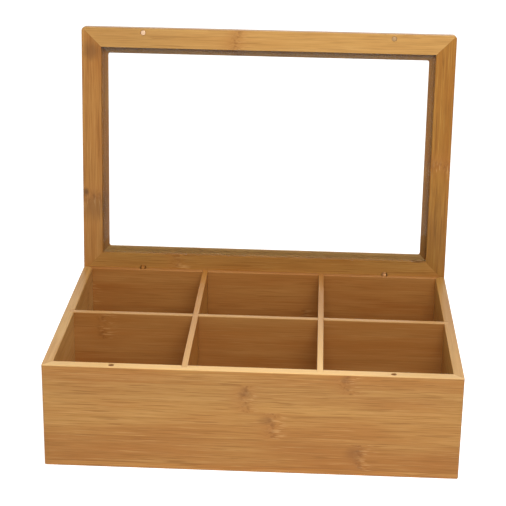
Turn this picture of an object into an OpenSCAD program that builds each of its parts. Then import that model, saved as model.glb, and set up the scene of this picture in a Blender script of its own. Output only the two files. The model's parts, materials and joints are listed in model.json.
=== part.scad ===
// Tea bag organizer box in laminated bamboo.
// Six compartments, a mitred lid frame with a clear window, two concealed barrel hinges
// and two pairs of closing magnets.
//
// Frame: origin at the centre of the underside, +X to the right, +Y to the hinged back, +Z up.
// The box sits on z = 0. The lid is modelled open, leaning back on its stop.

/* [Box] */
// Outside width of the box and of the lid
box_w = 290; // [230:1:360]
// Outside depth of the box and of the lid
box_d = 196; // [150:1:260]
// Height of the box walls
box_h = 77; // [55:1:110]
// Thickness of the box walls
wall_t = 7.2; // [7:0.1:10]
// Radius of the box's upright corners
box_corner_r = 1.2; // [1:0.1:2.5]
// Radius that eases the box's outer and upper edges
box_edge_r = 0.6; // [0.3:0.1:0.9]

/* [Bottom panel] */
// Thickness of the bottom panel
bottom_t = 4; // [3:0.5:6]
// Width of the rebate in each wall that takes the bottom panel
rebate_w = 3.6; // [2.5:0.1:4.5]

/* [Dividers] */
// Thickness of the divider strips
divider_t = 4.2; // [3:0.1:6]
// Depth of the dadoes that take the divider ends
dado_depth = 3.4; // [2:0.1:3.4]
// Radius that eases the upper edges of the dividers
divider_edge_r = 0.4; // [0.2:0.1:1]

/* [Lid frame] */
// Thickness of the lid frame
lid_t = 10; // [9:0.5:16]
// Width of the lid frame's inner face, from its outside to the rebate
lid_face_w = 15.2; // [13:0.1:20]
// Width of the ledge that carries the window
ledge_w = 5; // [4:0.1:7]
// Depth of the window rebate, from the lid's inner face to the ledge
ledge_depth = 5; // [3.5:0.1:5.5]
// Radius of the lid's upright corners
lid_corner_r = 3; // [2.4:0.1:6]
// Radius that eases the upper edges of the closed lid
lid_edge_r = 2; // [0.5:0.1:2.2]
// Radius that eases the edges of the lid's inner face
lid_inner_edge_r = 0.5; // [0.3:0.1:1]

/* [Window] */
// Thickness of the clear window
window_t = 2; // [1.5:0.1:3]
// Size of the bevel round the outside of the window opening
window_bevel = 3; // [0.5:0.1:3]
// Radius of the window opening's corners
window_corner_r = 1.6; // [0.5:0.1:4]

/* [Hinges] */
// Angle that the lid opens to, where its chamfer meets the box
open_angle = 95; // [85:1:105]
// Distance from each side of the box to the middle of a hinge
hinge_inset = 48; // [30:1:70]
// Diameter of the hinge barrels
barrel_d = 5; // [4:0.1:5.2]
// Depth of a barrel's far end, below the hinge axis
barrel_depth = 7.5; // [6.5:0.5:8]
// Depth of a barrel's shoulder, below the hinge axis
shoulder_depth = 1.7; // [1.6:0.1:2.5]
// Outside radius of the leaves' round eyes
eye_r = 1.3; // [1:0.1:1.4]
// Thickness of the lid barrel's middle leaf
middle_leaf_t = 0.9; // [0.6:0.1:1.2]
// Thickness of each of the box barrel's two outer leaves
outer_leaf_t = 0.7; // [0.5:0.1:0.8]
// Diameter of the hinge pins
pin_d = 1; // [0.8:0.1:1.2]

/* [Magnets] */
// Diameter of the magnets
magnet_d = 4; // [3:0.1:5]
// Length of the magnets
magnet_l = 3; // [2:0.5:5]
// Distance from each side of the box to a magnet's centre
magnet_inset = 48; // [20:1:90]
// Depth of a magnet's face below the wood
magnet_recess = 0.4; // [0.1:0.1:0.6]

/* [Clearances] */
// Gap between the closed lid and the box
lid_gap = 0.3; // [0.2:0.1:0.6]
// Gap between the two chamfers when the lid rests open
stop_gap = 0.1; // [0.05:0.05:0.3]
// Gap on each side of a divider in its dado, and at its end
dado_clear = 0.1; // [0.05:0.05:0.2]
// Gap on each side of a divider in a cross lap
lap_clear = 0.1; // [0.05:0.05:0.2]
// Gap round the edge of the bottom panel
bottom_clear = 0.15; // [0.05:0.05:0.4]
// Gap round the edge of the window
window_clear = 0.4; // [0.2:0.1:1]
// Glue gap round a barrel or a magnet in its hole
glue_gap = 0.05; // [0.05:0.05:0.1]
// Glue space under a barrel or a magnet in its hole
hole_spare = 0.3; // [0.1:0.1:0.6]
// Gap on each side of the middle leaf
leaf_gap = 0.08; // [0.05:0.01:0.15]
// Radial gap between a hinge pin and the middle leaf
pin_clear = 0.05; // [0.02:0.01:0.1]
// Gap between the leaves' round eyes and the lip of the facing barrel
lip_gap = 0.1; // [0.05:0.05:0.2]

/* [Hidden] */

// Cutting shapes pass this far beyond what they cut
over = 1;
// Fineness of round shapes
$fn = 64;

bamboo = [0.76, 0.55, 0.33];
bamboo_inside = [0.62, 0.42, 0.22];
bamboo_strip = [0.84, 0.66, 0.42];
brass = [0.80, 0.62, 0.30];
nickel = [0.78, 0.77, 0.75];
clear = [0.85, 0.93, 0.95, 0.35];

// Inside of the box, wall to wall
inner_w = box_w - 2 * wall_t;
inner_d = box_d - 2 * wall_t;

// Three equal compartments across and two from front to back
compartment_w = (inner_w - 2 * divider_t) / 3;
cross_x = (compartment_w + divider_t) / 2;
divider_h = box_h - bottom_t;
lap_z = bottom_t + divider_h / 2;

// Hinge axis: along X, over the middle of the back wall, halfway up the closed lid's gap
axis_y = box_d / 2 - wall_t / 2;
axis_z = box_h + lid_gap / 2;
hinge_x = box_w / 2 - hinge_inset;
magnet_x = box_w / 2 - magnet_inset;
magnet_y = -box_d / 2 + wall_t / 2;

// Lid in its closed place
lid_z = box_h + lid_gap;
lid_member_w = lid_face_w + ledge_w;
lid_stock_w = lid_member_w + window_corner_r;

// Pin length: flush with the outsides of the outer leaves
pin_l = middle_leaf_t + 2 * leaf_gap + 2 * outer_leaf_t;

// ---------- Shared shapes ----------

// Rectangle from [0, 0] to [w, h] with its lower corners rounded to low_r and its upper ones to top_r
module eased_rectangle(w, h, low_r, top_r) {
    translate([0, low_r]) square([w, h - low_r - top_r]);
    translate([low_r, 0]) square([w - 2 * low_r, low_r + over / 10]);
    translate([top_r, h - top_r - over / 10]) square([w - 2 * top_r, top_r + over / 10]);
    for (x = [low_r, w - low_r])
        translate([x, low_r]) circle(low_r);
    for (x = [top_r, w - top_r])
        translate([x, h - top_r]) circle(top_r);
}

// Half of an eased rectangle, for turning about its straight side
module eased_post_profile(r, h, low_r, top_r) {
    intersection() {
        translate([-r, 0]) eased_rectangle(2 * r, h, low_r, top_r);
        square([r, h]);
    }
}

// Section drawn in Y and Z, carried along X from x = 0
module along_x(length) {
    rotate([90, 0, 90]) linear_extrude(length) children();
}

// Block centred on X and Y, on z = 0, with round upright corners and eased edges
module eased_block(w, d, h, corner_r, low_r, top_r) {
    translate([-w / 2 + corner_r, -d / 2, 0])
        along_x(w - 2 * corner_r) eased_rectangle(d, h, low_r, top_r);
    rotate([0, 0, 90])
        translate([-d / 2 + corner_r, -w / 2, 0])
            along_x(d - 2 * corner_r) eased_rectangle(w, h, low_r, top_r);
    for (x = [-1, 1], y = [-1, 1])
        translate([x * (w / 2 - corner_r), y * (d / 2 - corner_r), 0])
            rotate_extrude() eased_post_profile(corner_r, h, low_r, top_r);
}

// Frame member with 45 degree mitres: its outside lies on y = 0 and its section runs into +Y
module mitred_member(length, width, height) {
    intersection() {
        translate([-length / 2, 0, 0]) along_x(length) children();
        linear_extrude(height)
            polygon([
                [-length / 2, 0],
                [length / 2, 0],
                [length / 2 - width, width],
                [-length / 2 + width, width]
            ]);
    }
}

// Puts a member at the front, back, left or right side of a frame that is w wide and d deep
module at_front(d) { translate([0, -d / 2, 0]) children(); }
module at_back(d) { translate([0, d / 2, 0]) rotate([0, 0, 180]) children(); }
module at_left(w) { translate([-w / 2, 0, 0]) rotate([0, 0, -90]) children(); }
module at_right(w) { translate([w / 2, 0, 0]) rotate([0, 0, 90]) children(); }

// Moves children from the hinge axis at the origin to its place on the box
module at_axis() { translate([0, axis_y, axis_z]) children(); }

// Swings the closed lid about the hinge axis to its open rest on the stop
module swing_open() {
    at_axis() rotate([-open_angle, 0, 0]) translate([0, -axis_y, -axis_z]) children();
}

// Space behind the hinge axis that is cut off the box, at half the opening angle, from the axis back.
// The lid's cut is its mirror image across the parting plane.
module chamfer_space(length) {
    reach = 3 * wall_t;
    half = open_angle / 2;
    y0 = -stop_gap / 2 * sin(half);
    z0 = -stop_gap / 2 * cos(half);
    translate([-length / 2, 0, 0])
        along_x(length)
            polygon([
                [y0, z0],
                [y0 + reach * cos(half), z0 - reach * sin(half)],
                [reach, reach],
                [y0, reach]
            ]);
}

module box_chamfer() { at_axis() chamfer_space(box_w + 2 * over); }
module lid_chamfer() { at_axis() mirror([0, 0, 1]) chamfer_space(box_w + 2 * over); }

// ---------- Box ----------

// Wall section: rebate for the bottom panel inside its foot, eased upper edge inside
module wall_section() {
    difference() {
        eased_rectangle(wall_t, box_h, box_edge_r, box_edge_r);
        translate([wall_t - rebate_w, -over]) square([rebate_w + over, bottom_t + over]);
    }
}

module box_outline() {
    eased_block(box_w, box_d, box_h, box_corner_r, box_edge_r, box_edge_r);
}

// Dado for one divider end, open at the top, centred on x = 0, cut from y = 0 into +Y
module dado() {
    w = divider_t + 2 * dado_clear;
    translate([-w / 2, -over, bottom_t]) cube([w, dado_depth + over, divider_h + over]);
}

module magnet_hole(x, y) {
    depth = magnet_recess + magnet_l + hole_spare;
    translate([x, y, -depth]) cylinder(h = depth + over, d = magnet_d + 2 * glue_gap);
}

// Hole for one barrel, from the hinge axis down
module barrel_hole() {
    depth = barrel_depth + hole_spare;
    translate([0, 0, -depth]) cylinder(h = depth + over, d = barrel_d + 2 * glue_gap);
}

module front_panel() {
    color(bamboo) difference() {
        intersection() {
            at_front(box_d) mitred_member(box_w, wall_t, box_h) wall_section();
            box_outline();
        }
        for (side = [-1, 1]) {
            translate([side * cross_x, -inner_d / 2, 0]) mirror([0, 1, 0]) dado();
            translate([0, 0, box_h]) magnet_hole(side * magnet_x, magnet_y);
        }
    }
}

module back_panel() {
    color(bamboo) difference() {
        intersection() {
            at_back(box_d) mitred_member(box_w, wall_t, box_h) wall_section();
            box_outline();
        }
        for (side = [-1, 1]) {
            translate([side * cross_x, inner_d / 2, 0]) dado();
            at_axis() translate([side * hinge_x, 0, 0]) barrel_hole();
        }
        box_chamfer();
    }
}

// Side wall on the left, with the dado for the long divider
module left_panel() {
    color(bamboo) difference() {
        intersection() {
            at_left(box_w) mitred_member(box_d, wall_t, box_h) wall_section();
            box_outline();
        }
        translate([-inner_w / 2, 0, 0]) rotate([0, 0, 90]) dado();
        box_chamfer();
    }
}

module right_panel() { mirror([1, 0, 0]) left_panel(); }

module bottom_panel() {
    w = inner_w + 2 * rebate_w - 2 * bottom_clear;
    d = inner_d + 2 * rebate_w - 2 * bottom_clear;
    color(bamboo_inside) translate([-w / 2, -d / 2, 0]) cube([w, d, bottom_t]);
}

// Divider strip along X, standing on the bottom panel, its ends in the dadoes
module divider_strip(span) {
    length = span + 2 * (dado_depth - dado_clear);
    translate([-length / 2, -divider_t / 2, bottom_t])
        along_x(length) eased_rectangle(divider_t, divider_h, divider_edge_r, divider_edge_r);
}

// Half-height notch of a cross lap, from z0 up or down by height
module lap_notch(z0, height) {
    w = divider_t + 2 * lap_clear;
    translate([-w / 2, -divider_t / 2 - over, z0]) cube([w, divider_t + 2 * over, height]);
}

// Left-to-right divider, notched from the top where the two others cross it
module long_divider() {
    color(bamboo_strip) difference() {
        divider_strip(inner_w);
        for (side = [-1, 1])
            translate([side * cross_x, 0, 0]) lap_notch(lap_z - lap_clear / 2, divider_h);
    }
}

// Front-to-back divider, notched from below
module cross_divider() {
    rotate([0, 0, 90]) difference() {
        divider_strip(inner_d);
        lap_notch(0, lap_z + lap_clear / 2);
    }
}

module cross_divider_left() { color(bamboo_strip) translate([-cross_x, 0, 0]) cross_divider(); }
module cross_divider_right() { color(bamboo_strip) translate([cross_x, 0, 0]) cross_divider(); }

// Disc magnet with its outer face at z = 0 less its recess
module magnet() {
    color(nickel) translate([0, 0, -magnet_recess - magnet_l]) cylinder(h = magnet_l, d = magnet_d);
}

module box_magnet(side) { translate([side * magnet_x, magnet_y, box_h]) magnet(); }
module box_magnet_left() { box_magnet(-1); }
module box_magnet_right() { box_magnet(1); }

// ---------- Hinges, drawn about the axis at the origin ----------

// Barrel below the axis: a turned cylinder with its shoulder and its slope clear of the other barrel
module barrel_body() {
    difference() {
        translate([0, 0, -barrel_depth]) cylinder(h = barrel_depth - shoulder_depth, d = barrel_d);
        chamfer_space(barrel_d + 2 * over);
    }
}

// Leaf with a round eye on the axis, rising from the barrel, centred on x
module leaf(x, thickness) {
    translate([x - thickness / 2, 0, 0]) {
        rotate([0, 90, 0]) cylinder(h = thickness, r = eye_r);
        translate([0, -eye_r, -barrel_depth / 2]) cube([thickness, 2 * eye_r, barrel_depth / 2]);
    }
}

// Lip on the barrel's front, in front of the leaves and flush with the wood's face
module barrel_lip() {
    intersection() {
        translate([0, 0, -barrel_depth]) cylinder(h = barrel_depth, d = barrel_d);
        translate([-pin_l / 2, -barrel_d / 2 - over, -barrel_depth / 2])
            cube([pin_l, barrel_d / 2 + over - eye_r - lip_gap, (barrel_depth - lid_gap) / 2]);
    }
}

// Bore along the axis through every leaf
module pin_bore(d) {
    translate([-barrel_d / 2, 0, 0]) rotate([0, 90, 0]) cylinder(h = barrel_d, d = d);
}

module box_barrel() {
    color(brass) difference() {
        union() {
            barrel_body();
            barrel_lip();
            for (side = [-1, 1])
                leaf(side * (middle_leaf_t / 2 + leaf_gap + outer_leaf_t / 2), outer_leaf_t);
        }
        pin_bore(pin_d);
    }
}

module lid_barrel() {
    color(brass) difference() {
        union() {
            barrel_body();
            barrel_lip();
            leaf(0, middle_leaf_t);
        }
        pin_bore(pin_d + 2 * pin_clear);
    }
}

module hinge_pin() {
    color(brass) translate([-pin_l / 2, 0, 0]) rotate([0, 90, 0]) cylinder(h = pin_l, d = pin_d);
}

module at_hinge(side) { at_axis() translate([side * hinge_x, 0, 0]) children(); }

module hinge_left_box_barrel() { at_hinge(-1) box_barrel(); }
module hinge_right_box_barrel() { at_hinge(1) box_barrel(); }
module hinge_left_pin() { at_hinge(-1) hinge_pin(); }
module hinge_right_pin() { at_hinge(1) hinge_pin(); }
module hinge_left_lid_barrel() { swing_open() at_hinge(-1) mirror([0, 0, 1]) lid_barrel(); }
module hinge_right_lid_barrel() { swing_open() at_hinge(1) mirror([0, 0, 1]) lid_barrel(); }

// ---------- Lid ----------

// Lid member section: inner face on z = 0, window rebate cut from it, then the ledge
module lid_section() {
    difference() {
        square([lid_stock_w, lid_t]);
        translate([lid_face_w, -over]) square([lid_stock_w, ledge_depth + over]);
    }
}

module lid_outline() {
    eased_block(box_w, box_d, lid_t, lid_corner_r, lid_inner_edge_r, lid_edge_r);
}

// Half of the window opening's section: straight through the ledge, then spread by the bevel
module opening_profile(r) {
    rim = lid_t - window_bevel;
    polygon([
        [0, -over],
        [r, -over],
        [r, rim],
        [r + window_bevel + over, lid_t + over],
        [0, lid_t + over]
    ]);
}

// Full section of the window opening, from side to side
module opening_section(w) {
    opening_profile(w / 2);
    mirror([1, 0]) opening_profile(w / 2);
}

// Window opening through the ledge, with round corners and a bevel round its outside
module window_opening() {
    w = box_w - 2 * lid_member_w;
    d = box_d - 2 * lid_member_w;
    straight_w = w - 2 * window_corner_r;
    straight_d = d - 2 * window_corner_r;
    translate([-straight_w / 2, 0, 0]) along_x(straight_w) opening_section(d);
    rotate([0, 0, 90]) translate([-straight_d / 2, 0, 0]) along_x(straight_d) opening_section(w);
    for (x = [-1, 1], y = [-1, 1])
        translate([x * straight_w / 2, y * straight_d / 2, 0])
            rotate_extrude() opening_profile(window_corner_r);
}

// Lid member in its closed place: shaped, then trimmed by the window and the hinged edge's chamfer
module lid_member() {
    color(bamboo) difference() {
        translate([0, 0, lid_z]) intersection() {
            children();
            lid_outline();
        }
        translate([0, 0, lid_z]) window_opening();
        lid_chamfer();
    }
}

// Mitred stock of one lid member, wide enough for its share of the opening's round corners
module lid_stock(length) { mitred_member(length, lid_stock_w, lid_t) lid_section(); }

module lid_front_rail() {
    swing_open() difference() {
        lid_member() at_front(box_d) lid_stock(box_w);
        for (side = [-1, 1])
            translate([0, 0, lid_z]) mirror([0, 0, 1]) magnet_hole(side * magnet_x, magnet_y);
    }
}

module lid_rear_rail() {
    swing_open() difference() {
        lid_member() at_back(box_d) lid_stock(box_w);
        for (side = [-1, 1])
            at_axis() translate([side * hinge_x, 0, 0]) mirror([0, 0, 1]) barrel_hole();
    }
}

module lid_left_stile() {
    swing_open() lid_member() at_left(box_w) lid_stock(box_d);
}

module lid_right_stile() { mirror([1, 0, 0]) lid_left_stile(); }

// Clear window, resting on the ledge inside the lid frame
module lid_window() {
    w = box_w - 2 * lid_face_w - 2 * window_clear;
    d = box_d - 2 * lid_face_w - 2 * window_clear;
    color(clear) swing_open()
        translate([-w / 2, -d / 2, lid_z + ledge_depth - window_t]) cube([w, d, window_t]);
}

module lid_magnet(side) {
    swing_open() translate([side * magnet_x, magnet_y, lid_z]) mirror([0, 0, 1]) magnet();
}
module lid_magnet_left() { lid_magnet(-1); }
module lid_magnet_right() { lid_magnet(1); }

front_panel();
back_panel();
left_panel();
right_panel();
bottom_panel();
long_divider();
cross_divider_left();
cross_divider_right();
box_magnet_left();
box_magnet_right();
hinge_left_box_barrel();
hinge_right_box_barrel();
hinge_left_pin();
hinge_right_pin();
lid_front_rail();
lid_rear_rail();
lid_left_stile();
lid_right_stile();
lid_window();
lid_magnet_left();
lid_magnet_right();
hinge_left_lid_barrel();
hinge_right_lid_barrel();
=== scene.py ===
"""Bamboo tea box with six compartments and a windowed lid: its finishes, magnets and studio stage.

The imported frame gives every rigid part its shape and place, in metres, with +X to the right,
+Y to the hinged back and +Z up. The lid stands open at rest.
"""

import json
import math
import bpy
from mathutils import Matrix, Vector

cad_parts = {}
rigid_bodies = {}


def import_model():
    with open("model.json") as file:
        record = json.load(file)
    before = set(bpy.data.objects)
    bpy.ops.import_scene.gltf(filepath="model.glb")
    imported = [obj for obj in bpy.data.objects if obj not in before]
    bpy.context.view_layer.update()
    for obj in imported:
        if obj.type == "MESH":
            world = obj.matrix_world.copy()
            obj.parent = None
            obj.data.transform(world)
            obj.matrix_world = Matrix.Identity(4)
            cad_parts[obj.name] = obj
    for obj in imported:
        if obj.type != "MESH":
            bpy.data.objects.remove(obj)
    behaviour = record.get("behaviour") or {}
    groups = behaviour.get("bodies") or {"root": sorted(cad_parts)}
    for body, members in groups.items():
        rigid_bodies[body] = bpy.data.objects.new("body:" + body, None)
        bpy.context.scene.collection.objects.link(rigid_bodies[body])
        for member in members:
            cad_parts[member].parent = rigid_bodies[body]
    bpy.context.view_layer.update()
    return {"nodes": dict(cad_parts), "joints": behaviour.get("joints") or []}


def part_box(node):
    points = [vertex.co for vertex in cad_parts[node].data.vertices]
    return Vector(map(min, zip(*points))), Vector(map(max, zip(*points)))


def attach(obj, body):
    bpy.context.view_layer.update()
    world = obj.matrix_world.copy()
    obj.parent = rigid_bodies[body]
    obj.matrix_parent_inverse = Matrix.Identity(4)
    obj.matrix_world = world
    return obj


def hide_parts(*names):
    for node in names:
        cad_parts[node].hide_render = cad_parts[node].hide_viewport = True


bl_info = {
    "name": "Bamboo Tea Box",
    "version": (1, 0, 0),
    "blender": (4, 5, 0),
    "location": "3D View > Sidebar > Tea Box",
    "description": "Finishes and stages a bamboo tea box with a windowed lid",
    "category": "Object",
}

from dataclasses import dataclass

import bpy
import numpy as np
from bpy.props import FloatProperty, FloatVectorProperty, PointerProperty
from mathutils import Euler, Matrix, Vector

# A new file's own cube, lamp and camera are no part of the scene
for leftover in list(bpy.data.objects):
    bpy.data.objects.remove(leftover)
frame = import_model()

MM = 0.001
SIDES = ("left", "right")

# The lid's one joint runs from open, at rest, to shut
LID_JOINT = frame["joints"][0]
HINGE_AXIS = Vector(LID_JOINT["pos_m"])
OPEN_ANGLE = math.radians(LID_JOINT["range_deg"][1])

# Outer width and depth of the walls, the height of their top edge, and the lid frame's width
# from its outer edge to the pane
BOX_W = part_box("right_panel")[1].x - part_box("left_panel")[0].x
BOX_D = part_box("back_panel")[1].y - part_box("front_panel")[0].y
BOX_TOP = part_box("front_panel")[1].z
FACE_W = BOX_W / 2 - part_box("lid_window")[1].x

# Width of one laminated strip of bamboo
STRIP = 20.4 * MM


def srgb(red, green, blue):
    """Linear colour for a display colour given as 0 to 255."""
    def linear(c):
        c /= 255
        return c / 12.92 if c <= 0.04045 else ((c + 0.055) / 1.055) ** 2.4
    return (linear(red), linear(green), linear(blue))


def mm(*lengths):
    """Lengths given in millimetres, in metres."""
    return tuple(length * MM for length in lengths)


def colour(name, description, default):
    """Colour property with the usual limits."""
    return FloatVectorProperty(
        name=name, description=description, default=default, subtype="COLOR", min=0, max=1
    )


# ---------- Settings ----------


class BambooSettings(bpy.types.PropertyGroup):
    """Tones and gloss of the bamboo, and the width of its strips."""

    honey: colour("Honey", "Main tone of the lacquered bamboo", srgb(187, 134, 72))
    amber: colour("Amber", "Warmer tone of the darker strips", srgb(171, 110, 51))
    straw: colour("Straw", "Pale tone between the fibres", srgb(208, 160, 98))
    sawn_and_lit: colour("Sawn edge", "Tone of the sawn upper edges", srgb(236, 192, 126))
    # Pale top edges: the sawn edge's own tone, made paler still as painted light on the upward faces
    fibre: colour("Fibre", "Tone of the dark fibre bundles", srgb(144, 93, 42))
    glue: colour("Glue line", "Tone of the line between two strips", srgb(146, 95, 44))
    knuckle: colour("Knuckle", "Tone of a strip's knuckles", srgb(132, 82, 38))
    strip_width: FloatProperty(
        name="Strip width",
        description="Width of one laminated strip",
        default=STRIP,
        unit="LENGTH",
    )
    # Dark tone of real stains, also mixed in as painted shade on the window's ledge and in some
    # patches
    stain_and_shade: colour("Stain and shade", "Tone mixed into dark patches and the window's ledge", srgb(96, 62, 34))
    # Pale tone laid on a ledge as a painted reflection of the pane
    pane_reflection: colour("Pane reflection", "Tone of the ledge where it reflects the pane", srgb(193, 156, 98))
    roughness: FloatProperty(
        name="Roughness", description="Roughness of the satin lacquer", default=0.28, min=0, max=1
    )


class MetalSettings(bpy.types.PropertyGroup):
    """Tones and polish of the hinges and magnets, and the magnets' rounding."""

    # The right hinge's brass is the lit copy: its lighter tone and full polish are painted light
    brass: colour("Brass", "Tone of the right hinge's barrels", srgb(192, 142, 92))
    # The same brass, darkened and dulled as painted shade on the left hinge
    shaded_brass: colour("Dull brass", "Tone of the left hinge's darker barrels", srgb(172, 114, 54))
    polish: FloatProperty(
        name="Polish",
        description="Share of aged metal that mirrors; the rest is tarnish",
        default=0.4,
        min=0,
        max=1,
    )
    # The left lid magnet's plate as the lit copy: its brightness is painted light
    nickel: colour("Nickel", "Tone of a bright plated magnet", srgb(226, 190, 154))
    # The same plate, darker as painted shade
    shaded_nickel: colour("Shaded nickel", "Tone of a magnet's plate in painted shade", srgb(172, 138, 98))
    # Steel discs whose dark brown tone is painted shade from their recesses
    shaded_steel: colour("Dark steel", "Tone of the darkened discs in the front wall", srgb(132, 86, 52))
    magnet_round: FloatProperty(
        name="Magnet rounding",
        description="Radius of a magnet's rim",
        default=0.35 * MM,
        unit="LENGTH",
    )


class WindowSettings(bpy.types.PropertyGroup):
    """Clear pane of the lid."""

    tint: colour("Tint", "Colour of the pane", (0.99, 1.0, 0.998))
    ior: FloatProperty(name="IOR", description="Refraction of the pane", default=1.3, min=1)


class StageSettings(bpy.types.PropertyGroup):
    """Floor, lamps and camera."""

    floor: colour("Floor", "Colour of the floor", (0.82, 0.82, 0.82))
    floor_size: FloatProperty(
        name="Floor size", description="Width of the floor", default=12, unit="LENGTH"
    )
    sky: FloatProperty(name="Sky", description="Strength of the even light", default=0.42, min=0)
    key: FloatProperty(name="Key", description="Power of the key lamp, in watts", default=3.8, min=0)
    fill: FloatProperty(
        name="Fill", description="Power of each of the two fill lamps, in watts", default=1.5, min=0
    )
    rear: FloatProperty(
        name="Rear", description="Power of the low lamp behind, in watts", default=0.8, min=0
    )
    eye: FloatVectorProperty(
        name="Camera place",
        description="Where the camera stands",
        default=(38.81 * MM, -1023.68 * MM, 503.06 * MM),
        subtype="TRANSLATION",
        unit="LENGTH",
    )
    yaw: FloatProperty(
        name="Yaw", description="Turn to the right", default=math.radians(-2.424), unit="ROTATION"
    )
    pitch: FloatProperty(
        name="Pitch", description="Tilt down", default=math.radians(20.137), unit="ROTATION"
    )
    roll: FloatProperty(
        name="Roll", description="Turn about the view", default=math.radians(0.882), unit="ROTATION"
    )
    lens: FloatProperty(
        name="Lens", description="Focal length in mm on a 36 mm sensor", default=105.92, min=1
    )


class TeaBoxSettings(bpy.types.PropertyGroup):
    """All settings of the tea box."""

    bamboo: PointerProperty(type=BambooSettings)
    metal: PointerProperty(type=MetalSettings)
    window: PointerProperty(type=WindowSettings)
    stage: PointerProperty(type=StageSettings)


# ---------- Shader building ----------


class Shader:
    """Adds nodes to one tree. Every value may be a number, a colour or another node's socket."""

    def __init__(self, tree):
        self.tree = tree

    def node(self, kind, **options):
        made = self.tree.nodes.new(kind)
        for option, value in options.items():
            setattr(made, option, value)
        return made

    def feed(self, socket, value):
        if isinstance(value, bpy.types.NodeSocket):
            self.tree.links.new(value, socket)
        elif socket.type == "RGBA":
            socket.default_value = (*value[:3], 1)
        else:
            socket.default_value = value

    def math(self, operation, first, second=0.0, third=0.0):
        made = self.node("ShaderNodeMath", operation=operation)
        for socket, value in zip(made.inputs, (first, second, third)):
            self.feed(socket, value)
        return made.outputs[0]

    def vector(self, operation, first, second):
        made = self.node("ShaderNodeVectorMath", operation=operation)
        self.feed(made.inputs[0], first)
        self.feed(made.inputs[1], second)
        return made.outputs[0]

    def point(self, x=0.0, y=0.0, z=0.0):
        made = self.node("ShaderNodeCombineXYZ")
        for socket, value in zip(made.inputs, (x, y, z)):
            self.feed(socket, value)
        return made.outputs[0]

    def axes(self, vector):
        made = self.node("ShaderNodeSeparateXYZ")
        self.feed(made.inputs[0], vector)
        return made.outputs

    def step(self, value, low, high, to_low=0.0, to_high=1.0):
        """Smooth step from to_low at low to to_high at high."""
        made = self.node("ShaderNodeMapRange", interpolation_type="SMOOTHSTEP")
        for socket, number in zip(made.inputs, (value, low, high, to_low, to_high)):
            self.feed(socket, number)
        return made.outputs[0]

    def noise(self, vector, stretch, detail=2.0, roughness=0.5):
        """Noise from 0 to 1 whose features are about 1 / stretch metres long on each axis."""
        made = self.node("ShaderNodeTexNoise")
        self.feed(made.inputs["Vector"], self.vector("MULTIPLY", vector, stretch))
        made.inputs["Scale"].default_value = 1
        made.inputs["Detail"].default_value = detail
        made.inputs["Roughness"].default_value = roughness
        return made.outputs[0]

    def mix(self, share, first, second, blend="MIX"):
        made = self.node("ShaderNodeMix", data_type="RGBA", blend_type=blend)
        self.feed(made.inputs[0], share)
        first_colour, second_colour = [i for i in made.inputs if i.type == "RGBA"]
        self.feed(first_colour, first)
        self.feed(second_colour, second)
        return next(o for o in made.outputs if o.type == "RGBA")

    def turned(self, vector, angles, centre=(0, 0, 0)):
        """The vector less the centre, turned by the angles."""
        offset = -(Euler(angles).to_matrix() @ Vector(centre))
        made = self.node("ShaderNodeMapping", vector_type="POINT")
        self.feed(made.inputs["Vector"], vector)
        made.inputs["Rotation"].default_value = angles
        made.inputs["Location"].default_value = offset
        return made.outputs[0]

    def chance(self, row, seed):
        """Random value and colour for each whole number in row."""
        made = self.node("ShaderNodeTexWhiteNoise", noise_dimensions="2D")
        self.feed(made.inputs["Vector"], self.point(row, seed))
        return made.outputs

    def surface(self, shade, kind="Material"):
        """Ends the tree in its output node."""
        self.feed(self.node("ShaderNodeOutput" + kind).inputs["Surface"], shade)


def new_material(name):
    """Empty material, and the shader that fills it."""
    material = bpy.data.materials.new(name)
    material.use_nodes = True
    material.node_tree.nodes.clear()
    return material, Shader(material.node_tree)


def new_group(name, inputs, outputs):
    """Node group with the given sockets: the group, its shader, and its inputs and outputs."""
    group = bpy.data.node_groups.new(name, "ShaderNodeTree")
    for socket, kind in inputs.items():
        group.interface.new_socket(socket, in_out="INPUT", socket_type=kind)
    for socket, kind in outputs.items():
        group.interface.new_socket(socket, in_out="OUTPUT", socket_type=kind)
    shader = Shader(group)
    return group, shader, shader.node("NodeGroupInput").outputs, shader.node("NodeGroupOutput").inputs


FLOAT = "NodeSocketFloat"
VECTOR = "NodeSocketVector"
COLOR = "NodeSocketColor"

# What one knuckle leaves on its strip: dark band, darker halo, pale strokes and bent fibres
KNUCKLE_MARKS = ("Mark", "Halo", "Glint", "Curl")

# A knuckle's band wanders over this range, and bows by this much at one strip's width from its middle
KNUCKLE_WOBBLE = 5 * MM
KNUCKLE_BOW = 9 * MM

# How far the fibres are bent beside a knuckle, where its curl is 1
CURL_REACH = 14 * MM


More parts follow.
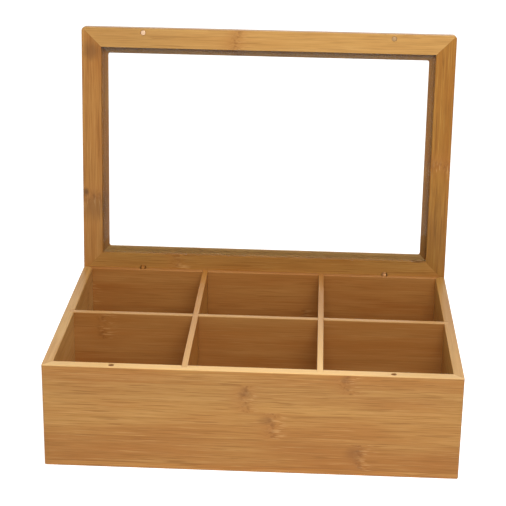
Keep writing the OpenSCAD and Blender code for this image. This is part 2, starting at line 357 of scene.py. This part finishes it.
def knuckle_group():
    """One knuckle of a bamboo strip.

    Along the strip its marks fall off as exp(-(u / width)^2), where u is the distance from the
    knuckle, bowed with the square of the height in the strip.
    """
    name = "Bamboo knuckle"
    if name in bpy.data.node_groups:
        return bpy.data.node_groups[name]
    group, s, given, result = new_group(
        name,
        {"Board": VECTOR, "Along": FLOAT, "Across": FLOAT, "Height": FLOAT},
        dict.fromkeys(KNUCKLE_MARKS, FLOAT),
    )
    x, y, _ = s.axes(given["Board"])
    along = s.math("SUBTRACT", x, given["Along"])
    height = s.math("DIVIDE", s.math("SUBTRACT", y, given["Across"]), given["Height"])
    in_strip = s.step(s.math("ABSOLUTE", height), 0.47, 0.52, 1.0, 0.0)

    # The noise is shifted by the knuckle's own place, so that no two knuckles are alike
    local = s.vector("ADD", given["Board"], s.point(s.math("MULTIPLY", given["Along"], 7.0)))
    wander = s.math("SUBTRACT", s.noise(local, (60, 330, 120)), 0.5)
    wobble = s.math("MULTIPLY", wander, KNUCKLE_WOBBLE)
    bow = s.math("MULTIPLY", s.math("MULTIPLY", height, height), KNUCKLE_BOW)
    bent = s.math("SUBTRACT", s.math("ADD", along, wobble), bow)

    def band(centre, width):
        offset = s.math("DIVIDE", s.math("SUBTRACT", bent, centre), width)
        return s.math("EXPONENT", s.math("MULTIPLY", s.math("MULTIPLY", offset, offset), -1.0))

    mottle = s.step(s.noise(local, (320, 400, 400), 2), 0.42, 0.64)
    strokes = s.step(s.noise(local, (110, 900, 900), 1), 0.54, 0.64)
    twist = s.math("SUBTRACT", s.noise(local, (150, 150, 150)), 0.5)
    strengths = (
        s.math("MULTIPLY", band(0.0, 3 * MM), s.math("MULTIPLY_ADD", mottle, 0.9, 0.1)),
        band(-1 * MM, 8 * MM),
        s.math("MULTIPLY", band(4 * MM, 5 * MM), strokes),
        s.math("MULTIPLY", band(0.0, 5 * MM), twist),
    )
    for mark, strength in zip(KNUCKLE_MARKS, strengths):
        s.feed(result[mark], s.math("MULTIPLY", strength, in_strip))
    return group


def board_group(bamboo):
    """Laminated bamboo: strips side by side, each with its own tone and fibres.

    The board's own X runs along the grain, Y across the strips and Z through the thickness.
    Fibres are noise drawn out along X, shifted at random from strip to strip.
    """
    name = "Bamboo board"
    if name in bpy.data.node_groups:
        return bpy.data.node_groups[name]
    group, s, given, result = new_group(
        name,
        {
            "Board": VECTOR,
            "Tone": COLOR,
            **dict.fromkeys(("Seed", "Start", "Warmth", "Contrast", "Sawn", *KNUCKLE_MARKS), FLOAT),
        },
        {"Color": COLOR, "Grain": FLOAT},
    )
    _, y, _ = s.axes(given["Board"])
    row = s.math("DIVIDE", s.math("SUBTRACT", y, given["Start"]), bamboo.strip_width)
    strip = s.math("FLOOR", row)
    tone, tint, slide = s.axes(s.chance(strip, given["Seed"])["Color"])

    # The fibres, from clouds of tone and broad bands down to single hairs
    shift = s.point(
        s.math("MULTIPLY_ADD", slide, 3.0, given["Seed"]),
        s.math("MULTIPLY_ADD", strip, 0.31, s.math("MULTIPLY", given["Curl"], CURL_REACH)),
        s.math("MULTIPLY", given["Seed"], 0.7),
    )
    fibres = s.vector("ADD", given["Board"], shift)
    cloud = s.noise(fibres, (12, 60, 60), 2)
    broad = s.noise(fibres, (7, 300, 300), 3, 0.6)
    fine = s.noise(fibres, (28, 1100, 1100), 3, 0.6)
    line = s.noise(fibres, (30, 950, 950), 2)
    hair = s.noise(fibres, (50, 3200, 3200), 1)

    warm = s.math("MULTIPLY_ADD", tint, 0.7, s.math("MULTIPLY", s.math("SUBTRACT", cloud, 0.45), 1.6))
    warm = s.math("ADD", warm, given["Warmth"])
    plain = s.mix(s.step(warm, 0.0, 1.0), bamboo.honey, bamboo.amber)

    # Each row is a noise, the values at which its tone begins and is full, its share and the tone
    grained = plain
    for noise, begins, full, share, hue in (
        (broad, 0.48, 0.72, 0.26, bamboo.straw),
        (broad, 0.50, 0.28, 0.22, bamboo.fibre),
        (fine, 0.50, 0.70, 0.55, bamboo.fibre),
        (hair, 0.55, 0.72, 0.45, bamboo.fibre),
        (fine, 0.46, 0.26, 0.55, bamboo.straw),
        (line, 0.58, 0.66, 0.70, bamboo.fibre),
    ):
        grained = s.mix(s.step(noise, begins, full, 0.0, share), grained, hue)
    base = s.mix(given["Contrast"], plain, grained)
    shade = s.math("MULTIPLY_ADD", tone, 0.18, 0.91)
    for factor in (s.point(shade, shade, shade), given["Tone"]):
        base = s.mix(1.0, base, factor, "MULTIPLY")

    # Some seams between strips are tight and hardly show, and others are open and broken
    from_middle = s.math("ABSOLUTE", s.math("SUBTRACT", s.math("FRACT", row), 0.5))
    seam = s.step(from_middle, 0.470, 0.499)
    luck = s.chance(s.math("ROUND", row), s.math("ADD", given["Seed"], 0.5))["Value"]
    for share in (
        s.step(s.noise(fibres, (14, 5, 5)), 0.35, 0.65, 0.15, 1.0),
        s.step(luck, 0.35, 0.75, 0.10, 0.65),
    ):
        seam = s.math("MULTIPLY", seam, share)

    for share, hue in (
        (seam, bamboo.glue),
        (s.math("MULTIPLY", given["Halo"], 0.40), bamboo.amber),
        (s.math("MULTIPLY", given["Mark"], 0.58), bamboo.knuckle),
        (s.math("MULTIPLY", given["Glint"], 0.55), bamboo.straw),
        # Pale top edge: the sawn tone with painted light from above, fading towards the back as
        # painted shade
        (given["Sawn"], bamboo.sawn_and_lit),
    ):
        base = s.mix(share, base, hue)
    s.feed(result["Color"], base)
    s.feed(result["Grain"], s.math("MULTIPLY_ADD", hair, 0.5, fine))
    return group


# Turns that lay a board's own axes along a part: grain, across the strips, through the thickness
UPRIGHT_ACROSS = (-math.pi / 2, 0, 0)
UPRIGHT_DEEP = (-math.pi / 2, -math.pi / 2, 0)
FLAT_ACROSS = (0, 0, 0)
FLAT_DEEP = (0, 0, -math.pi / 2)


@dataclass
class Board:
    """How one part is cut from bamboo, in metres along and across its grain.

    lay is one of the turns above, and start is where a strip begins, across the grain. A knuckle is
    (along, across). A dark patch is (along, across, half its length, half its width, strength).
    sawn_and_lit is how pale the top edge is, partly the sawn edge's own tone and partly painted light
    where the top faces the light, and shade_to_hinges is how fast that fades towards the hinges, as
    painted shade. ledge_shade is the share of painted shade on the ledge round the window, at the
    lid's free end and at its hinged end; where a board reflects_pane, its ledge is pale instead, a
    painted reflection of the pane. Some dark patches are stains and some are painted shade.
    """

    lay: tuple
    seed: int
    start: float = 0.0
    warmth: float = 0.0
    tone: tuple = (1, 1, 1)
    contrast: float = 0.6
    knuckles: tuple = ()
    patches: tuple = ()
    sawn_and_lit: float = 0.0
    shade_to_hinges: float = 1.5
    in_lid: bool = False
    ledge_shade: tuple = (0.4, 0.4)
    reflects_pane: bool = False


WALL_START = 4.4 * MM
WALLS = {
    "front_panel": Board(
        UPRIGHT_ACROSS, 51, WALL_START, 0.1, (1.07, 1.12, 1.08), 0.8, sawn_and_lit=0.9, shade_to_hinges=0.0,
        knuckles=(mm(65, 72), mm(-5, 56), mm(14, 36), mm(74.5, 14)),
        patches=(
            (*mm(72, 17, 10, 8), 0.27),
            (*mm(10, 40, 8, 4), 0.26),
            (*mm(-4, 60, 7, 4), 0.2),
            (*mm(64, 73, 5, 4), 0.2),
            (*mm(0, 60, 400, 14), 0.1),
            (*mm(0, 70, 260, 7), 0.06),
            # Painted shade at both ends of the top edge, so that its lighter middle stands as a
            # painted reflection of the window
            (*mm(-140, 78, 90, 4), 0.1),
            (*mm(140, 78, 90, 4), 0.2),
        ),
    ),
    # No pale top here: the back wall's top edge stays dark as painted shade under the lid's foot
    "back_panel": Board(
        UPRIGHT_ACROSS, 2, WALL_START, 0.0, (0.85, 0.79, 0.74), 0.5,
        knuckles=(mm(-88, 14), mm(32, 36), mm(-142, 56), mm(141, 72)),
    ),
    "left_panel": Board(
        # Lighter, whiter tone: painted light on the inner face, lit from the right
        UPRIGHT_DEEP, 3, WALL_START, 0.1, (1.16, 1.38, 1.6), 0.6, sawn_and_lit=0.25, shade_to_hinges=1.0,
        knuckles=(mm(41, 14), mm(-52, 36), mm(66, 56)),
    ),
    "right_panel": Board(
        UPRIGHT_DEEP, 4, WALL_START, 0.1, (0.89, 0.95, 0.82), 0.6, sawn_and_lit=0.33, shade_to_hinges=1.0,
        knuckles=(mm(-44, 36), mm(22, 56), mm(-80, 14)),
    ),
}
DIVIDERS = {
    "long_divider": Board(
        UPRIGHT_ACROSS, 41, WALL_START, 0.2, (0.92, 0.95, 1.0), 0.4, sawn_and_lit=0.9,
        knuckles=(mm(-117, 66), mm(58, 14)),
    ),
    "cross_divider_left": Board(
        UPRIGHT_DEEP, 6, WALL_START, 0.2, (0.95, 0.92, 0.72), 0.4, sawn_and_lit=0.55, shade_to_hinges=1.2,
        knuckles=(mm(33, 36), mm(-61, 56)),
    ),
    "cross_divider_right": Board(
        UPRIGHT_DEEP, 7, WALL_START, 0.2, (0.95, 0.94, 0.9), 0.4, sawn_and_lit=0.9,
        knuckles=(mm(-24, 56), mm(70, 14)),
    ),
}
BASE = {
    "bottom_panel": Board(
        FLAT_ACROSS, 8, warmth=0.3,
        knuckles=(mm(-60, 10), mm(75, -31), mm(12, 51), mm(-101, -51)),
    ),
}
LID_BOARDS = {
    "lid_front_rail": Board(
        # Lighter, paler tone: painted light on the lid's free end, open to the light from above
        FLAT_ACROSS, 9, -BOX_D / 2, -0.25, (1.15, 1.27, 1.3), 0.65, in_lid=True,
        knuckles=((-25 * MM, -BOX_D / 2 + STRIP / 2),),
        # Painted shade over the rail's left end, away from the light on the right
        patches=((*mm(-110, -88, 75, 30), 0.12),),
        ledge_shade=(0.45, 0.45),
    ),
    "lid_rear_rail": Board(
        # Darker, warmer tone: painted shade at the lid's foot, close above the box
        FLAT_ACROSS, 10, BOX_D / 2 - STRIP, 0.45, (0.8, 0.82, 0.7), 0.8, in_lid=True,
        knuckles=((-70 * MM, BOX_D / 2 - STRIP / 2),),
        # Painted shadow: a thin dark line along the pane's edge near the rail's right end
        patches=((*mm(123, 82.9, 7, 0.9), 0.6),),
        # This ledge is lightened as a painted reflection of the pane
        reflects_pane=True,
    ),
    "lid_left_stile": Board(
        FLAT_DEEP, 11, BOX_W / 2 - STRIP, 0.15, (0.97, 0.95, 0.83), 0.8, in_lid=True,
        knuckles=((36 * MM, BOX_W / 2 - STRIP / 2),),
        patches=(
            (*mm(33, 142.5, 5, 3.5), 0.75),
            (*mm(45, 136, 17, 15), 0.38),
            (*mm(-80, 137, 11, 10), 0.5),
            (*mm(80, 137, 30, 20), 0.06),
        ),
        ledge_shade=(0.2, 0.42),
    ),
    "lid_right_stile": Board(
        FLAT_DEEP, 12, -BOX_W / 2, 0.4, (0.93, 0.93, 0.57), 1.0, in_lid=True,
        knuckles=((3 * MM, -BOX_W / 2 + STRIP / 2),),
        # Painted shade over the stile's lower half, towards the hinges
        patches=((*mm(78, -136, 75, 16), 0.3),),
        ledge_shade=(0.2, 0.42),
    ),
}

# Where a mitre's glue line is full and where it ends, on each side of the joint, and its strength
MITRE_FULL, MITRE_END = mm(0.12, 0.40)
MITRE_SHARE = 0.4

# How far below the top edge the pale tone begins and is full: the sawn edge's own tone and painted
# light together
PALE_TOP_BEGINS, PALE_TOP_FULL = mm(1.0, 0.3)

# How far before the pane's edge the ledge's tone begins, and how far past it the tone is full
LEDGE_BEGINS, LEDGE_FULL = mm(0.3, 0.1)

# Between these places the ledge's painted shade goes from its share at the lid's free end to the
# hinged one
LEDGE_SHADE_FREE, LEDGE_SHADE_HINGED = mm(-20, 70)
# Share of the pale painted reflection on a ledge that reflects the pane
PANE_REFLECTION_SHARE = 0.6

# Relief and gloss of lacquered wood: the fibres stand a little proud and are a little rougher
GRAIN_HEIGHT = 0.06 * MM
GRAIN_BUMP = 0.25
ROUGHER_FIBRES = 0.14
SATIN_SPECULAR = 0.25


def knuckle_marks(s, board, grain, bamboo):
    """Sum of each mark that the board's knuckles leave."""
    totals = dict.fromkeys(KNUCKLE_MARKS, 0.0)
    for along, across in board.knuckles:
        knuckle = s.node("ShaderNodeGroup", node_tree=knuckle_group())
        for socket, value in zip(knuckle.inputs, (grain, along, across, bamboo.strip_width)):
            s.feed(socket, value)
        for mark in totals:
            totals[mark] = s.math("ADD", totals[mark], knuckle.outputs[mark])
    return totals


def mitre_share(s, x, y):
    """Share of the glue line in a mitre, which lies where |x| - |y| is what it is at the corners."""
    off_corner = s.math("SUBTRACT", s.math("ABSOLUTE", x), s.math("ABSOLUTE", y))
    from_mitre = s.math("ABSOLUTE", s.math("SUBTRACT", off_corner, (BOX_W - BOX_D) / 2))
    return s.step(from_mitre, MITRE_FULL, MITRE_END, MITRE_SHARE, 0.0)


def sawn_and_lit_share(s, board, y, z):
    """Share of the pale top-edge tone, partly the sawn edge's own and partly painted light from above;
    it fades towards the hinges as painted shade.
    """
    to_front = s.math("SUBTRACT", 0.5, s.math("DIVIDE", y, BOX_D))
    lit_to_front = s.math("POWER", s.math("MAXIMUM", to_front, 0.0), board.shade_to_hinges)
    edge = s.step(z, BOX_TOP - PALE_TOP_BEGINS, BOX_TOP - PALE_TOP_FULL, 0.0, board.sawn_and_lit)
    return s.math("MULTIPLY", edge, lit_to_front)


def patched(s, tone, board, grain, bamboo):
    """The tone with the board's dark patches, some stains and some painted shade: ragged ellipses,
    full inside and gone past their rim.
    """
    if not board.patches:
        return tone
    grain_x, grain_y, _ = s.axes(grain)
    ragged = s.math("MULTIPLY", s.noise(grain, (120, 500, 500), 2), 0.6)
    for along, across, reach, breadth, strength in board.patches:
        u = s.math("DIVIDE", s.math("SUBTRACT", grain_x, along), reach)
        v = s.math("DIVIDE", s.math("SUBTRACT", grain_y, across), breadth)
        far = s.math("SQRT", s.math("ADD", s.math("MULTIPLY", u, u), s.math("MULTIPLY", v, v)))
        share = s.step(s.math("ADD", far, ragged), 0.45, 1.3, strength, 0.0)
        tone = s.mix(share, tone, bamboo.stain_and_shade)
    return tone


def ledged(s, tone, board, x, y, bamboo):
    """The tone with the ledge round the window, darker than the frame's face as painted shade, or pale
    as a painted reflection of the pane where a board reflects it.
    """
    from_edge = s.math(
        "MINIMUM",
        s.math("SUBTRACT", BOX_W / 2, s.math("ABSOLUTE", x)),
        s.math("SUBTRACT", BOX_D / 2, s.math("ABSOLUTE", y)),
    )
    on_ledge = s.step(from_edge, FACE_W - LEDGE_BEGINS, FACE_W + LEDGE_FULL)
    # Painted shade on the ledge, deeper towards the hinged end; where the pane is reflected, a pale
    # painted reflection instead
    share, hue = s.step(y, LEDGE_SHADE_FREE, LEDGE_SHADE_HINGED, *board.ledge_shade), bamboo.stain_and_shade
    if board.reflects_pane:
        share, hue = PANE_REFLECTION_SHARE, bamboo.pane_reflection
    return s.mix(s.math("MULTIPLY", on_ledge, share), tone, hue)


def bamboo_material(name, board, bamboo):
    """Lacquered bamboo laid on one part, with its strips, fibres, knuckles, mitres and patches."""
    material, s = new_material(name)
    place = s.node("ShaderNodeTexCoord").outputs["Object"]
    if board.in_lid:
        # A lid part is laid as it lies when the lid is shut
        place = s.turned(place, (OPEN_ANGLE, 0, 0), HINGE_AXIS)
        place = s.vector("ADD", place, HINGE_AXIS)
    x, y, z = s.axes(place)
    grain = s.turned(place, board.lay)

    wood = s.node("ShaderNodeGroup", node_tree=board_group(bamboo))
    fed = {
        "Board": grain,
        "Seed": float(board.seed),
        "Start": board.start,
        "Warmth": board.warmth,
        "Tone": board.tone,
        "Contrast": board.contrast,
        "Sawn": sawn_and_lit_share(s, board, y, z),
        **knuckle_marks(s, board, grain, bamboo),
    }
    for socket, value in fed.items():
        s.feed(wood.inputs[socket], value)
    tone = s.mix(mitre_share(s, x, y), wood.outputs["Color"], bamboo.glue)
    tone = patched(s, tone, board, grain, bamboo)
    if board.in_lid:
        tone = ledged(s, tone, board, x, y, bamboo)

    bump = s.node("ShaderNodeBump")
    bump.inputs["Strength"].default_value = GRAIN_BUMP
    bump.inputs["Distance"].default_value = GRAIN_HEIGHT
    s.feed(bump.inputs["Height"], wood.outputs["Grain"])
    skin = s.node("ShaderNodeBsdfPrincipled")
    skin.inputs["Specular IOR Level"].default_value = SATIN_SPECULAR
    s.feed(skin.inputs["Base Color"], tone)
    smooth = bamboo.roughness
    s.feed(
        skin.inputs["Roughness"],
        s.step(wood.outputs["Grain"], 0.4, 1.1, smooth, smooth + ROUGHER_FIBRES),
    )
    s.feed(skin.inputs["Normal"], bump.outputs[0])
    s.surface(skin.outputs[0])
    return material


# Spacing of the turning marks, how much darker and rougher worn metal is, the gloss of its tarnish,
# and the share of the polish that a piece in painted shade keeps
HINGE_RINGS, MAGNET_RINGS = mm(0.12, 0.2)
WORN_SHADE = 0.82
ROUGHER_RINGS = 0.18
METAL_SPECULAR = 0.05
SHADED_POLISH = 0.25


def metal_material(name, tone, roughness, ring_spacing, polish=1.0):
    """Turned metal: fine rings round its own axis show as a slight change of roughness.

    polish is the share that mirrors like bare metal; the rest is tarnish.
    """
    material, s = new_material(name)
    skin = s.node("ShaderNodeBsdfPrincipled")
    skin.inputs["Metallic"].default_value = polish
    skin.inputs["Specular IOR Level"].default_value = METAL_SPECULAR
    place = s.node("ShaderNodeTexCoord").outputs["Object"]
    cloud = s.noise(place, (900, 900, 900), 3)
    rings = s.noise(place, (60, 60, 1 / ring_spacing), 1)
    worn = tuple(WORN_SHADE * part for part in tone)
    s.feed(skin.inputs["Base Color"], s.mix(s.step(cloud, 0.35, 0.7), tone, worn))
    marks = s.math("ADD", cloud, rings)
    s.feed(skin.inputs["Roughness"], s.step(marks, 0.6, 1.4, roughness, roughness + ROUGHER_RINGS))
    s.surface(skin.outputs[0])
    return material


def window_material(window):
    """Clear pane that bends light for the eye and lets lamps through."""
    material, s = new_material("Clear pane")
    skin = s.node("ShaderNodeBsdfPrincipled")
    skin.inputs["Base Color"].default_value = (*window.tint, 1)
    skin.inputs["Roughness"].default_value = 0.0
    skin.inputs["IOR"].default_value = window.ior
    skin.inputs["Transmission Weight"].default_value = 1
    through = s.node("ShaderNodeBsdfTransparent")
    through.inputs["Color"].default_value = (*window.tint, 1)
    rays = s.node("ShaderNodeLightPath").outputs
    from_lamps = s.math("MAXIMUM", rays["Is Shadow Ray"], rays["Is Diffuse Ray"])
    mixed = s.node("ShaderNodeMixShader")
    for socket, value in zip(mixed.inputs, (from_lamps, skin.outputs[0], through.outputs[0])):
        s.feed(socket, value)
    s.surface(mixed.outputs[0])
    return material


def paint(node, material):
    """Gives a frame part its finish."""
    part = frame["nodes"][node]
    part.data.materials.clear()
    part.data.materials.append(material)


# ---------- Shapes ----------


RIM_POINTS = 7
DISC_SIDES = 48


def rounded_disc_profile(radius, height, rim):
    """Outline of a disc from its lower pole to its upper one, as (radius, height) rows.

    The upper rim is a quarter circle: radius - rim + rim cos(a) out, height - rim + rim sin(a) up.
    The lower rim mirrors it.
    """
    turn = np.linspace(0, math.pi / 2, RIM_POINTS)
    upper = np.column_stack([radius - rim + rim * np.cos(turn), height - rim + rim * np.sin(turn)])
    lower = np.column_stack([upper[::-1, 0], height - upper[::-1, 1]])
    return np.vstack([[0, 0], lower, upper, [0, height]])


def turned_mesh(name, profile, sides):
    """Closed surface of revolution: each (r, h) row becomes the ring (r cos a, r sin a, h).

    The first and last rows are poles, each a single point joined to its ring by a fan.
    """
    angle = np.arange(sides) * 2 * math.pi / sides
    radius, height = profile[1:-1, 0, None], profile[1:-1, 1, None]
    count = len(radius)
    ring_x, ring_y = radius * np.cos(angle), radius * np.sin(angle)
    rings = np.stack([ring_x, ring_y, np.broadcast_to(height, (count, sides))], axis=-1)
    points = np.vstack([[[0, 0, profile[0, 1]]], rings.reshape(-1, 3), [[0, 0, profile[-1, 1]]]])

    here = np.arange(sides)
    after = np.roll(here, -1)
    row = 1 + sides * np.arange(count - 1)[:, None]
    quads = np.stack([row + here, row + after, row + sides + after, row + sides + here], axis=-1)
    top = len(points) - 1
    last = 1 + sides * (count - 1)
    low_fan = np.stack([np.zeros(sides, int), 1 + after, 1 + here], axis=-1)
    high_fan = np.stack([np.full(sides, top), last + here, last + after], axis=-1)
    faces = quads.reshape(-1, 4).tolist() + low_fan.tolist() + high_fan.tolist()

    mesh = bpy.data.meshes.new(name)
    mesh.from_pydata(points.tolist(), [], faces)
    mesh.polygons.foreach_set("use_smooth", np.ones(len(mesh.polygons), bool))
    mesh.update()
    return mesh


def place_piece(name, mesh, material, body, replaced):
    """Adds a finished piece at the origin, on its body and in the place of the frame's parts."""
    mesh.materials.append(material)
    piece = bpy.data.objects.new(name, mesh)
    bpy.context.scene.collection.objects.link(piece)
    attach(piece, body)
    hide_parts(*replaced)


# ---------- Operators ----------


class BoardOperator:
    """Shared work of the operators that lay bamboo on a group of parts."""

    bl_options = {"REGISTER", "UNDO"}
    boards = {}

    def execute(self, context):
        bamboo = context.scene.tea_box.bamboo
        for node, board in self.boards.items():
            paint(node, bamboo_material("Bamboo " + node.replace("_", " "), board, bamboo))
        return {"FINISHED"}


class TEABOX_OT_walls(BoardOperator, bpy.types.Operator):
    """Lay laminated bamboo on the four mitred walls"""

    bl_idname = "teabox.walls"
    bl_label = "Walls"
    boards = WALLS


class TEABOX_OT_dividers(BoardOperator, bpy.types.Operator):
    """Lay bamboo on the three cross-lapped divider strips"""

    bl_idname = "teabox.dividers"
    bl_label = "Dividers"
    boards = DIVIDERS


class TEABOX_OT_base(BoardOperator, bpy.types.Operator):
    """Lay bamboo on the bottom panel"""

    bl_idname = "teabox.base"
    bl_label = "Bottom panel"
    boards = BASE


class TEABOX_OT_lid_frame(BoardOperator, bpy.types.Operator):
    """Lay bamboo on the lid's mitred rails and stiles"""

    bl_idname = "teabox.lid_frame"
    bl_label = "Lid frame"
    boards = LID_BOARDS


class TEABOX_OT_window(bpy.types.Operator):
    """Make the lid's pane clear"""

    bl_idname = "teabox.window"
    bl_label = "Window"
    bl_options = {"REGISTER", "UNDO"}

    def execute(self, context):
        paint("lid_window", window_material(context.scene.tea_box.window))
        return {"FINISHED"}


class TEABOX_OT_hinges(bpy.types.Operator):
    """Finish the two barrel hinges and their pins in turned brass"""

    bl_idname = "teabox.hinges"
    bl_label = "Hinges"
    bl_options = {"REGISTER", "UNDO"}

    def execute(self, context):
        metal = context.scene.tea_box.metal
        # One brass in two copies: the left darker and duller as painted shade, the right lighter as
        # painted light
        brass = {
            "left": metal_material(
                "Dull brass", metal.shaded_brass, 0.6, HINGE_RINGS, SHADED_POLISH * metal.polish
            ),
            "right": metal_material("Aged brass", metal.brass, 0.4, HINGE_RINGS, metal.polish),
        }
        for side in SIDES:
            for part in ("box_barrel", "lid_barrel", "pin"):
                paint(f"hinge_{side}_{part}", brass[side])
        return {"FINISHED"}


class TEABOX_OT_magnets(bpy.types.Operator):
    """Turn the four closing magnets with their rounded, plated rims"""

    bl_idname = "teabox.magnets"
    bl_label = "Magnets"
    bl_options = {"REGISTER", "UNDO"}

    def execute(self, context):
        metal = context.scene.tea_box.metal
        # Steel, darkened and browned as painted shade in the recesses
        shaded_steel = metal_material(
            "Dark steel", metal.shaded_steel, 0.6, MAGNET_RINGS, SHADED_POLISH * metal.polish
        )
        # One nickel plate in two copies: the left lighter as painted light, the right darker as
        # painted shade
        plating = {
            "left": metal_material("Nickel plate", metal.nickel, 0.3, MAGNET_RINGS),
            "right": metal_material("Dull nickel plate", metal.shaded_nickel, 0.4, MAGNET_RINGS),
        }
        for side in SIDES:
            self.place_disc("box", side, 0.0, shaded_steel, metal.magnet_round)
            self.place_disc("lid", side, math.pi - OPEN_ANGLE, plating[side], metal.magnet_round)
        return {"FINISHED"}

    def place_disc(self, body, side, lean, finish, rim):
        """One disc in the place of its magnet, leaning back by the given angle."""
        node = f"{body}_magnet_{side}"
        low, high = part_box(node)
        length, radius = self.measure(low, high, lean)
        mesh = turned_mesh(node + "_disc", rounded_disc_profile(radius, length, rim), DISC_SIDES)
        centre = Matrix.Translation((low + high) / 2)
        turn = Matrix.Rotation(lean, 4, "X")
        mesh.transform(centre @ turn @ Matrix.Translation((0, 0, -length / 2)))
        place_piece(node + "_disc", mesh, finish, body, [node])

    def measure(self, low, high, lean):
        """Length and radius of a leaning disc: its box is length |cos a| + 2 radius |sin a| tall."""
        radius = (high.x - low.x) / 2
        tall = high.z - low.z
        return (tall - 2 * radius * abs(math.sin(lean))) / abs(math.cos(lean)), radius


# The floor's own share of light where the eye sees it, and how far it lies below the box
FLOOR_LIFT = 0.8
FLOOR_GAP = 0.2 * MM

# Each lamp's name, the setting that holds its power, its place and its width, in metres
LAMPS = (
    ("key", "key", (0.11, -0.42, 0.66), 0.5),
    ("fill right", "fill", (0.9, -0.5, 0.8), 1.0),
    ("fill left", "fill", (-0.9, -0.5, 0.8), 1.0),
    ("rear", "rear", (0.5, 1.3, 0.25), 1.0),
)

# Width of the sensor that the lens setting goes with, in millimetres
SENSOR_MM = 36


class TEABOX_OT_stage(bpy.types.Operator):
    """Lay the pale floor and hang the soft lamps"""

    bl_idname = "teabox.stage"
    bl_label = "Stage"
    bl_options = {"REGISTER", "UNDO"}

    def execute(self, context):
        stage = context.scene.tea_box.stage
        half = stage.floor_size / 2
        mesh = bpy.data.meshes.new("floor")
        corners = ((-half, -half), (half, -half), (half, half), (-half, half))
        mesh.from_pydata([(*corner, -FLOOR_GAP) for corner in corners], [], [(0, 1, 2, 3)])
        mesh.materials.append(self.floor_material(stage))
        floor = bpy.data.objects.new("floor", mesh)
        context.scene.collection.objects.link(floor)
        self.sky(context, stage)
        for name, power, place, width in LAMPS:
            self.lamp(context, name, getattr(stage, power), place, width)
        context.scene.view_settings.view_transform = "Standard"
        return {"FINISHED"}

    def seen(self, shader):
        """1 for the rays that the eye, metal and glass follow, and 0 for the rest."""
        rays = shader.node("ShaderNodeLightPath").outputs
        direct = shader.math("MAXIMUM", rays["Is Camera Ray"], rays["Is Glossy Ray"])
        return shader.math("MAXIMUM", direct, rays["Is Transmission Ray"])

    def floor_material(self, stage):
        """Pale floor that keeps the shadow and is lifted to white where it is seen."""
        material, s = new_material("Pale floor")
        matt = s.node("ShaderNodeBsdfDiffuse")
        matt.inputs["Color"].default_value = (*stage.floor, 1)
        lift = s.node("ShaderNodeEmission")
        s.feed(lift.inputs["Strength"], s.math("MULTIPLY", self.seen(s), FLOOR_LIFT))
        both = s.node("ShaderNodeAddShader")
        s.feed(both.inputs[0], matt.outputs[0])
        s.feed(both.inputs[1], lift.outputs[0])
        s.surface(both.outputs[0])
        return material

    def sky(self, context, stage):
        """Even light all round, seen as plain white."""
        world = bpy.data.worlds.new("Sky")
        world.use_nodes = True
        world.node_tree.nodes.clear()
        s = Shader(world.node_tree)
        light = s.node("ShaderNodeBackground")
        s.feed(light.inputs["Strength"], s.step(self.seen(s), 0.0, 1.0, stage.sky, 1.0))
        light.inputs["Color"].default_value = (1, 1, 1, 1)
        s.surface(light.outputs[0], "World")
        context.scene.world = world

    def lamp(self, context, name, power, place, width):
        """Square soft lamp that faces the middle of the box's top edge."""
        data = bpy.data.lights.new(name, "AREA")
        data.size = width
        data.energy = power
        lamp = bpy.data.objects.new(name, data)
        lamp.location = place
        towards = Vector((0, 0, BOX_TOP)) - Vector(place)
        lamp.rotation_euler = towards.to_track_quat("-Z", "Y").to_euler()
        context.scene.collection.objects.link(lamp)


class TEABOX_OT_camera(bpy.types.Operator):
    """Stand the camera in front of the box, above it and to the right"""

    bl_idname = "teabox.camera"
    bl_label = "Camera"
    bl_options = {"REGISTER", "UNDO"}

    def execute(self, context):
        stage = context.scene.tea_box.stage
        data = bpy.data.cameras.new("camera")
        data.sensor_width = SENSOR_MM
        data.lens = stage.lens
        data.clip_start = 0.01
        camera = bpy.data.objects.new("camera", data)
        turn = (
            Matrix.Rotation(-stage.yaw, 4, "Z")
            @ Matrix.Rotation(math.pi / 2 - stage.pitch, 4, "X")
            @ Matrix.Rotation(stage.roll, 4, "Z")
        )
        camera.matrix_world = Matrix.Translation(stage.eye) @ turn
        context.scene.collection.objects.link(camera)
        context.scene.camera = camera
        return {"FINISHED"}


STEPS = (
    TEABOX_OT_walls,
    TEABOX_OT_dividers,
    TEABOX_OT_base,
    TEABOX_OT_lid_frame,
    TEABOX_OT_window,
    TEABOX_OT_hinges,
    TEABOX_OT_magnets,
    TEABOX_OT_stage,
    TEABOX_OT_camera,
)


class TEABOX_PT_sidebar(bpy.types.Panel):
    """Lists the steps that finish the tea box"""

    bl_idname = "TEABOX_PT_sidebar"
    bl_label = "Tea Box"
    bl_space_type = "VIEW_3D"
    bl_region_type = "UI"
    bl_category = "Tea Box"

    def draw(self, context):
        for step in STEPS:
            self.layout.operator(step.bl_idname)
        for group in ("bamboo", "metal", "window", "stage"):
            settings = getattr(context.scene.tea_box, group)
            column = self.layout.column(heading=group.title())
            for name in settings.__annotations__:
                column.prop(settings, name)


CLASSES = (
    BambooSettings,
    MetalSettings,
    WindowSettings,
    StageSettings,
    TeaBoxSettings,
    *STEPS,
    TEABOX_PT_sidebar,
)


def register():
    for cls in CLASSES:
        bpy.utils.register_class(cls)
    bpy.types.Scene.tea_box = PointerProperty(type=TeaBoxSettings)


def unregister():
    del bpy.types.Scene.tea_box
    for cls in reversed(CLASSES):
        bpy.utils.unregister_class(cls)


def main():
    """Runs every step in order."""
    register()
    for step in STEPS:
        group, action = step.bl_idname.split(".")
        getattr(getattr(bpy.ops, group), action)()


if __name__ == "__main__":
    main()
